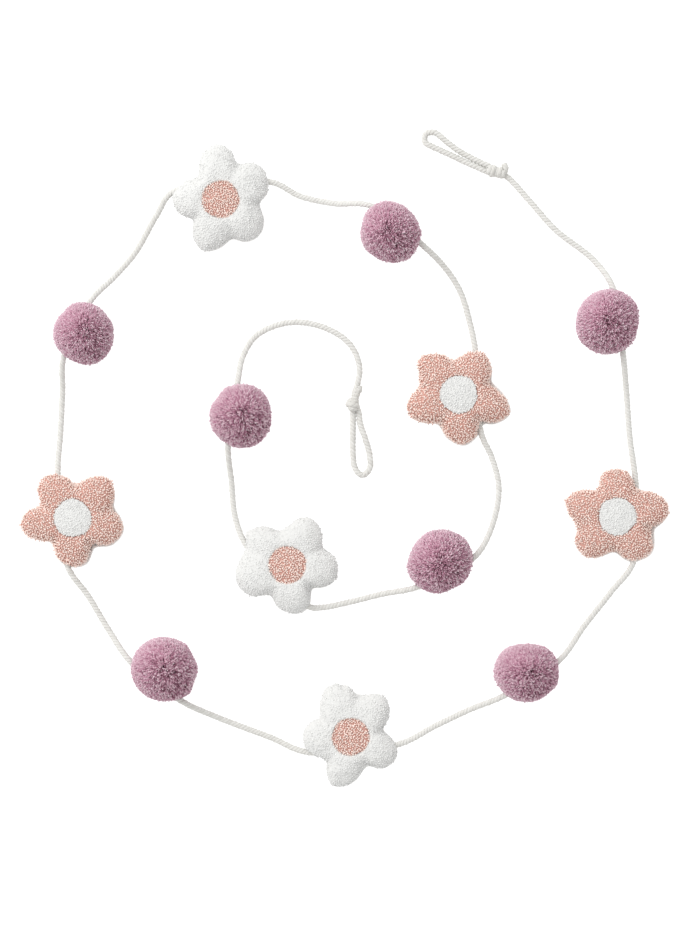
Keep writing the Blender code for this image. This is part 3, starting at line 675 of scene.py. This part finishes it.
# The flowers: back cloths
# Each flower is a small stuffed pillow. Its back is plain undyed cotton, cut to the petals' outline,
# flat on the table and turned up to the seam, where it shows as a pale rim round the pile.
SECTORS = 150
MIDDLE_RADIUS = 0.0129
FLAT_RADIUS = MIDDLE_RADIUS * 0.5
CLOTH_THICKNESS = 0.0012
CLOTH_PRESSED = 0.85
WALL_INSET = 0.0010
HIDDEN_BY_PILE = 0.0009
CORD_GAP = 0.0022
CORD_FLAT = 0.0012
DENT_SLOPE = 1.2
DENT_REACH = 0.005
SEAM_HEIGHT = 0.0044
RIM_PROUD = {"pink": 0.0009, "white": 0.0004}
NOTCH_PROUD = {"pink": 0.0020, "white": 0.0002}
BACK_PROFILE = [(0.0, 0.0), (0.45, 0.0), (0.62, 0.0002), (0.78, 0.0008), (0.90, 0.0022),
                (1.0, SEAM_HEIGHT)]
LIP = [(0.0003, 0.0050), (0.0009, 0.0052)]
# Each entry gives the flower's middle, the petals' colour and how far they reach at each angle.
FLOWERS = [
    (0.1816, -0.0336, "pink", [
        (52, 0.0231), (76, 0.0310), (90, 0.0319), (104, 0.0318),
        (127, 0.0232), (147, 0.0318), (159, 0.0360), (173, 0.0339),
        (193, 0.0279), (210, 0.0329), (224, 0.0353), (239, 0.0331),
        (266, 0.0240), (284, 0.0305), (298, 0.0336), (314, 0.0342),
        (340, 0.0257), (353, 0.0312), (364, 0.0357), (381, 0.0339)]),
    (0.0042, -0.1802, "white", [
        (11, 0.0230), (30, 0.0308), (50, 0.0350), (64, 0.0317),
        (79, 0.0284), (93, 0.0336), (114, 0.0369), (127, 0.0330),
        (150, 0.0247), (163, 0.0298), (180, 0.0323), (198, 0.0308),
        (226, 0.0243), (240, 0.0324), (254, 0.0358), (272, 0.0322),
        (298, 0.0238), (315, 0.0314), (334, 0.0345), (350, 0.0310)]),
    (-0.1808, -0.0346, "pink", [
        (15, 0.0275), (29, 0.0319), (47, 0.0356), (62, 0.0320),
        (87, 0.0233), (101, 0.0287), (120, 0.0337), (139, 0.0320),
        (160, 0.0243), (173, 0.0320), (187, 0.0362), (203, 0.0325),
        (228, 0.0228), (250, 0.0302), (268, 0.0332), (285, 0.0318),
        (305, 0.0231), (326, 0.0314), (344, 0.0349), (357, 0.0322)]),
    (-0.0824, 0.1774, "white", [
        (-5, 0.0266), (9, 0.0320), (36, 0.0353), (49, 0.0331),
        (65, 0.0272), (79, 0.0339), (92, 0.0375), (111, 0.0338),
        (134, 0.0231), (154, 0.0279), (175, 0.0325), (197, 0.0299),
        (216, 0.0237), (232, 0.0312), (250, 0.0364), (267, 0.0332),
        (286, 0.0278), (301, 0.0332), (316, 0.0355), (332, 0.0333)]),
    (0.0760, 0.0476, "pink", [
        (20, 0.0230), (38, 0.0285), (59, 0.0330), (75, 0.0303),
        (97, 0.0240), (116, 0.0308), (139, 0.0362), (151, 0.0311),
        (168, 0.0273), (180, 0.0315), (195, 0.0363), (213, 0.0332),
        (236, 0.0244), (256, 0.0307), (277, 0.0343), (293, 0.0308),
        (310, 0.0245), (322, 0.0312), (340, 0.0372), (356, 0.0321)]),
    (-0.0380, -0.0658, "white", [
        (26, 0.0267), (43, 0.0319), (64, 0.0349), (77, 0.0317),
        (102, 0.0236), (121, 0.0303), (140, 0.0349), (152, 0.0318),
        (161, 0.0303), (178, 0.0333), (202, 0.0362), (220, 0.0324),
        (241, 0.0247), (258, 0.0304), (284, 0.0343), (297, 0.0320),
        (315, 0.0239), (331, 0.0308), (347, 0.0345), (368, 0.0327)]),
]

cloth = yarn_finish("plain cotton cloth", (0.86, 0.85, 0.83), (0.92, 0.915, 0.90), (0.95, 0.945, 0.93),
                    1600, 0.5, 0.1, WHITE)
degrees = 360.0 * np.arange(SECTORS) / SECTORS
turns = np.radians(degrees)
lower_right = np.maximum(0.0, np.cos(turns - math.radians(-60)))
rightward = np.maximum(0.0, np.cos(turns - math.radians(-10)))


def petal_reaches(outline):
    """The reach at each turn round the flower, and how deep in a notch between petals that is."""
    reaches = np.array([reach_at(outline, angle) for angle in degrees])
    return reaches, (reaches.max() - reaches) / (reaches.max() - reaches.min())


def ring_round(x, y, radii, heights):
    heights = np.broadcast_to(heights, turns.shape)
    return np.stack([x + radii * np.cos(turns), y + radii * np.sin(turns), heights], axis=1)


def under_cord(points):
    """The points of a back cloth, lowered where the cord goes over them."""
    for near in cord_way[::2]:
        off = np.hypot(points[:, 0] - near[0], points[:, 1] - near[1])
        highest = near[2] - CORD_GAP + np.maximum(off - CORD_FLAT, 0.0) * DENT_SLOPE
        dented = np.minimum(points[:, 2], np.maximum(highest, 0.0))
        points[:, 2] = np.where(off < DENT_REACH, dented, points[:, 2])
    return points


for number, (x, y, colour, outline) in enumerate(FLOWERS, 1):
    rng = np.random.default_rng(40 + number)
    reaches, notch = petal_reaches(outline)
    uneven = 1.0 + 0.35 * np.sin(turns * 7 + rng.uniform(0, 6)) * np.sin(turns * 4 + rng.uniform(0, 6))
    rim = RIM_PROUD[colour] * lower_right * uneven + NOTCH_PROUD[colour] * notch * (0.3 + rightward)
    rim -= HIDDEN_BY_PILE
    rings = []
    for out, height in BACK_PROFILE:
        rings.append((FLAT_RADIUS + (reaches - FLAT_RADIUS) * out + rim * out ** 4, height))
    outside = [ring_round(x, y, radii, height) for radii, height in rings]
    lip = [ring_round(x, y, rings[-1][0] - inset, height) for inset, height in LIP]
    inside = [ring_round(x, y, radii - WALL_INSET * (height / SEAM_HEIGHT) ** 0.5,
                         height + CLOTH_THICKNESS * CLOTH_PRESSED) for radii, height in reversed(rings[:-1])]
    points, walls, ends = close_tube(np.array(outside + lip + inside))
    back = add_piece(f"flower_{number}_back_cloth", under_cord(points), [walls, ends], cloth,
                     shade=np.full(len(points), 0.6))
    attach(back, "root")
    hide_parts(f"flower_{number}_back")
    low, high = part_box(f"flower_{number}_back")


# The flowers: pile fronts
# The petals are cotton cloth punched full of short loops of yarn, about 1.1 mm apart, and stuffed,
# so that the front is crowned, its sides are drawn in to the seam and it dips between the petals.
LOOP_SPACING = 0.00107
LOOP_HALF_SPAN = 0.00040
LOOP_RISE = 0.00125
LOOP_SIDES = 4
LOOP_ANGLES = (190, 148, 90, 32, -10)
LOOP_LEAN = 0.25
LOOP_SPANS = (0.7, 1.4)
LOOP_HEIGHTS = (0.85, 1.15)
LOOP_FATNESS = (0.85, 1.15)
LOOP_TONES = (0.50, 0.95)
# Painted shade: each loop is darker at its feet, and a little darker at its shoulders, for the shade down
# between the loops.
FOOT_SHADE = 0.65
SHOULDER_SHADE = 0.12
TRIES_FOR_EACH = 7
PILE_DEPTH = 0.0016
FELT_DROP = 0.3
VALLEY_DEPTH = 0.13
VALLEY_PLACE = 0.7
LUMPS = 0.015
LUMP_SIZE = 0.009
EDGE_LUMPS = 0.0004
SHADE_INSET = 0.0008
NOTCH_INSET = 0.0005
WELL_RADIUS = MIDDLE_RADIUS * 0.88
WELL_HEIGHT = 0.0136
PILLOW_ENDS = (0.0030, 0.0130)
FRONT_ROWS = 44
PROFILE_WIDTH = 0.03
PROFILE_STEP = 0.0004
FRONT_PROFILE = [(0.93, 0.0050), (1.00, 0.0066), (1.005, 0.0084), (0.98, 0.0102), (0.92, 0.0120),
                 (0.83, 0.0138), (0.72, 0.0152), (0.56, 0.0165), (0.38, 0.0174), (0.18, 0.0176),
                 (0.0, 0.0171)]

# Each pile's deep colour is the colour of the painted shade at its loops' feet.
pink_pile = yarn_finish("pink loop pile", (0.57, 0.285, 0.225), (0.87, 0.66, 0.585), (0.97, 0.86, 0.80),
                        2500, 0.4, 0.2, (1.0, 0.94, 0.90))
white_pile = yarn_finish("white loop pile", (0.67, 0.67, 0.655), (0.725, 0.725, 0.715), (0.76, 0.76, 0.75),
                         2500, 0.3, 0.0, WHITE)
# The grounds are darker copies of the pile yarns: painted shade for the gaps between the loops.
pink_ground_in_shade = yarn_finish("pink ground in painted shade", (0.48, 0.245, 0.20), (0.57, 0.325, 0.275), (0.65, 0.40, 0.34),
                          1200, 0.3, 0.0, WHITE)
white_ground_in_shade = yarn_finish("white ground in painted shade", (0.64, 0.64, 0.625), (0.67, 0.67, 0.655), (0.70, 0.70, 0.685),
                           1200, 0.3, 0.0, WHITE)
# Thick is half the yarn's width, felted how far the ground is matted up into the pile, stray how much
# longer some loops stand at the sides, and the last value how much painted light evens out the window's
# light, darker on the side facing the window and paler on the side away from it.
Pile = namedtuple("Pile", "look ground_look thick felted stray evened")
PILE = {"pink": Pile(pink_pile, pink_ground_in_shade, thick=0.00044, felted=0.00030, stray=1.0, evened=0.0),
        "white": Pile(white_pile, white_ground_in_shade, thick=0.00052, felted=0.0010, stray=0.5, evened=0.6)}
AWAY_FROM_WINDOW = np.array((0.7, -0.7, 0.0))


def scatter_even(grid, normals, spacing, rng):
    """Spots on a grid of points, no two nearer than the spacing, with the surface's normal at each."""
    columns = grid.shape[1]
    here = grid[:-1]
    right = np.roll(grid, -1, axis=1)[:-1]
    above = grid[1:]
    areas = np.linalg.norm(np.cross(right - here, above - here), axis=2).ravel()
    tries = int(areas.sum() / spacing ** 2 * TRIES_FOR_EACH)
    cells = rng.choice(len(areas), tries, p=areas / areas.sum())
    row, column = np.divmod(cells, columns)
    u, v = rng.random(tries)[:, None], rng.random(tries)[:, None]
    after = (column + 1) % columns

    def between(values):
        low = values[row, column] * (1 - u) + values[row, after] * u
        high = values[row + 1, column] * (1 - u) + values[row + 1, after] * u
        return low * (1 - v) + high * v

    spots, facing = between(grid), between(normals)
    taken = {}
    kept = []
    for index, spot in enumerate(spots):
        cell = tuple(int(math.floor(value / spacing)) for value in spot)
        near = (taken.get((cell[0] + i, cell[1] + j, cell[2] + k), ())
                for i in (-1, 0, 1) for j in (-1, 0, 1) for k in (-1, 0, 1))
        if all(((spots[other] - spot) ** 2).sum() >= spacing ** 2 for some in near for other in some):
            taken.setdefault(cell, []).append(index)
            kept.append(index)
    facing = facing[kept]
    return spots[kept], facing / np.linalg.norm(facing, axis=1)[:, None]


def yarn_loops(feet, facing, pile, rng):
    """Small closed arches of yarn that stand on the cloth, each turned and leaning its own way. Painted
    light evens out the window's light on them: loops facing the window are darker and loops facing away are
    paler."""
    count = len(feet)
    up = facing + rng.normal(0.0, LOOP_LEAN, feet.shape)
    up /= np.linalg.norm(up, axis=1)[:, None]
    span = np.cross(up, rng.normal(size=feet.shape))
    span /= np.linalg.norm(span, axis=1)[:, None]
    flat = np.cross(span, up)
    half_span = LOOP_HALF_SPAN * rng.uniform(*LOOP_SPANS, count)
    sideways = np.hypot(facing[:, 0], facing[:, 1])
    rise = LOOP_RISE * (rng.uniform(*LOOP_HEIGHTS, count) + pile.stray * sideways * rng.random(count) ** 3)
    thick = pile.thick * rng.uniform(*LOOP_FATNESS, count)
    layers = []
    for place, angle in enumerate(LOOP_ANGLES):
        a = math.radians(angle)
        middle = feet + span * (half_span * math.cos(a))[:, None] + up * (rise * math.sin(a))[:, None]
        if place in (0, len(LOOP_ANGLES) - 1):
            layers.append(middle[:, None])
            continue
        out = span * math.cos(a) + up * math.sin(a)
        around = 2 * np.pi * np.arange(LOOP_SIDES) / LOOP_SIDES
        ring = out[:, None] * np.cos(around)[None, :, None] + flat[:, None] * np.sin(around)[None, :, None]
        layers.append(middle[:, None] + ring * thick[:, None, None])
    points = np.concatenate(layers, axis=1)
    each = points.shape[1]
    bands = len(LOOP_ANGLES) - 3
    threes, fours = [], []
    last_ring = 1 + bands * LOOP_SIDES
    for corner in range(LOOP_SIDES):
        following = (corner + 1) % LOOP_SIDES
        threes.append((0, 1 + following, 1 + corner))
        threes.append((each - 1, last_ring + corner, last_ring + following))
        for ring in range(bands):
            low = 1 + ring * LOOP_SIDES
            high = low + LOOP_SIDES
            fours.append((low + corner, low + following, high + following, high + corner))
    start = np.arange(count)[:, None] * each
    threes = np.concatenate([start + np.array(face) for face in threes])
    fours = np.concatenate([start + np.array(face) for face in fours])
    shade = np.repeat(rng.uniform(*LOOP_TONES, count), each).reshape(count, each)
    # Painted light: darker facing the window, paler facing away from it.
    shade += pile.evened * (facing @ AWAY_FROM_WINDOW)[:, None]
    # Painted shade at the feet and shoulders of each loop.
    shade[:, [0, each - 1]] -= FOOT_SHADE
    shade[:, 1:1 + LOOP_SIDES] -= SHOULDER_SHADE
    shade[:, last_ring:last_ring + LOOP_SIDES] -= SHOULDER_SHADE
    return points.reshape(-1, 3), threes, fours, shade.ravel()


def grid_normals(grid):
    """Outward normals of a ringed grid whose rows run from its outer edge to its top."""
    across = np.roll(grid, -1, axis=1) - np.roll(grid, 1, axis=1)
    inward = np.gradient(grid, axis=0)
    normals = np.cross(across, inward)
    return normals / np.linalg.norm(normals, axis=2)[:, :, None]


def fine_profile(profile, rows):
    """The profile's two columns read off at many even rows along a rounded line. Its first column
    gives shares of a petal, which are turned into metres for the rounding and back again."""
    line = smooth_line([(out * PROFILE_WIDTH, 0.0, height) for out, height in profile], PROFILE_STEP)
    travelled = np.linspace(0.0, 1.0, len(line))
    wanted = np.linspace(0.0, 1.0, rows)
    return np.interp(wanted, travelled, line[:, 0]) / PROFILE_WIDTH, np.interp(wanted, travelled, line[:, 2])


outs, heights = fine_profile(FRONT_PROFILE, FRONT_ROWS)
for number, (x, y, colour, outline) in enumerate(FLOWERS, 1):
    rng = np.random.default_rng(50 + number)
    reaches, notch = petal_reaches(outline)
    edge = np.stack([np.cos(turns), np.sin(turns), np.zeros(SECTORS)], axis=1) * reaches[:, None]
    lumpy = bunched(edge, LUMP_SIZE, rng)[:, 0] * EDGE_LUMPS
    seen = reaches + lumpy - SHADE_INSET * lower_right - NOTCH_INSET * notch
    rows = []
    for out, height in zip(outs, heights):
        radii = MIDDLE_RADIUS + (seen - MIDDLE_RADIUS) * out
        dip = 1.0 - VALLEY_DEPTH * (1.0 - abs(out - VALLEY_PLACE)) * notch
        rows.append(ring_round(x, y, radii, height * dip))
    surface = np.array(rows)
    lumps = bunched(surface.reshape(-1, 3) * (1, 1, 0), LUMP_SIZE, rng)[:, 2].reshape(surface.shape[:2])
    surface[:, :, 2] *= 1.0 + LUMPS * lumps
    normals = grid_normals(surface)
    ground_grid = surface - normals * PILE_DEPTH
    pile = PILE[colour]
    spots, facing = scatter_even(ground_grid, normals, LOOP_SPACING, rng)
    clear = clear_of_cord(spots, CORD_PARTING)
    points, threes, fours, shade = yarn_loops(spots[clear], facing[clear], pile, rng)
    points[:, 2] = np.maximum(points[:, 2], 0.0)
    loops = add_piece(f"flower_{number}_loop_pile", points, [threes, fours], pile.look, shade=shade)
    well = ring_round(x, y, np.full(SECTORS, WELL_RADIUS), WELL_HEIGHT)[None]
    away = normals @ AWAY_FROM_WINDOW
    felt = pile.felted * (1.0 - FELT_DROP * away)[:, :, None]
    points, walls, ends = close_tube(np.concatenate([ground_grid + normals * felt, well]))
    points[-2:, 2] = PILLOW_ENDS
    shade = np.full(len(points), 0.5)
    # Painted light on the ground as well: darker facing the window, paler facing away.
    shade[:away.size] += pile.evened * away.ravel()
    pillow = add_piece(f"flower_{number}_pillow", points, [walls, ends], pile.ground_look, shade=shade)
    for piece in (loops, pillow):
        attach(piece, "root")
    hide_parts(f"flower_{number}_front")


# The flowers: middles
# A round patch in the other colour, punched into the same cloth, level with the petals' pile. Its
# edge is not a clean circle, because the loops of both colours lean over it.
MIDDLE_ROWS = 14
MIDDLE_TOP = 0.0178
MIDDLE_EDGE = 0.0166
MIDDLE_SHARE = 0.98
MIDDLE_SPACING = LOOP_SPACING * 0.94
INNERMOST_ROW = 0.04
PATCH_SHARE = 0.985
PATCH_DEPTH = 0.0012
OTHER = {"pink": "white", "white": "pink"}

for number, (x, y, petal_colour, _) in enumerate(FLOWERS, 1):
    rng = np.random.default_rng(80 + number)
    colour = OTHER[petal_colour]
    uneven = 1.0 + 0.02 * np.sin(turns * 3 + number) + 0.015 * np.sin(turns * 5 + 2.0 * number)
    rows = []
    for part in np.linspace(1.0, INNERMOST_ROW, MIDDLE_ROWS):
        height = MIDDLE_TOP - (MIDDLE_TOP - MIDDLE_EDGE) * part ** 2
        rows.append(ring_round(x, y, MIDDLE_RADIUS * MIDDLE_SHARE * part * uneven, height))
    surface = np.array(rows)
    normals = grid_normals(surface)
    ground_grid = surface - normals * PILE_DEPTH
    pile = PILE[colour]
    spots, facing = scatter_even(ground_grid, normals, MIDDLE_SPACING, rng)
    points, threes, fours, shade = yarn_loops(spots, facing, pile, rng)
    loops = add_piece(f"flower_{number}_middle_pile", points, [threes, fours], pile.look, shade=shade)
    top = ground_grid + normals * pile.felted
    top[:, :, :2] = (x, y) + (top[:, :, :2] - (x, y)) * PATCH_SHARE
    disc = np.concatenate([top[:1] - np.array((0.0, 0.0, PATCH_DEPTH + pile.felted)), top])
    points, walls, ends = close_tube(disc)
    patch = add_piece(f"flower_{number}_middle_patch", points, [walls, ends], pile.ground_look,
                      shade=np.full(len(points), 0.5))
    for piece in (loops, patch):
        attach(piece, "root")
    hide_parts(f"flower_{number}_centre")


low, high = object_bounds()
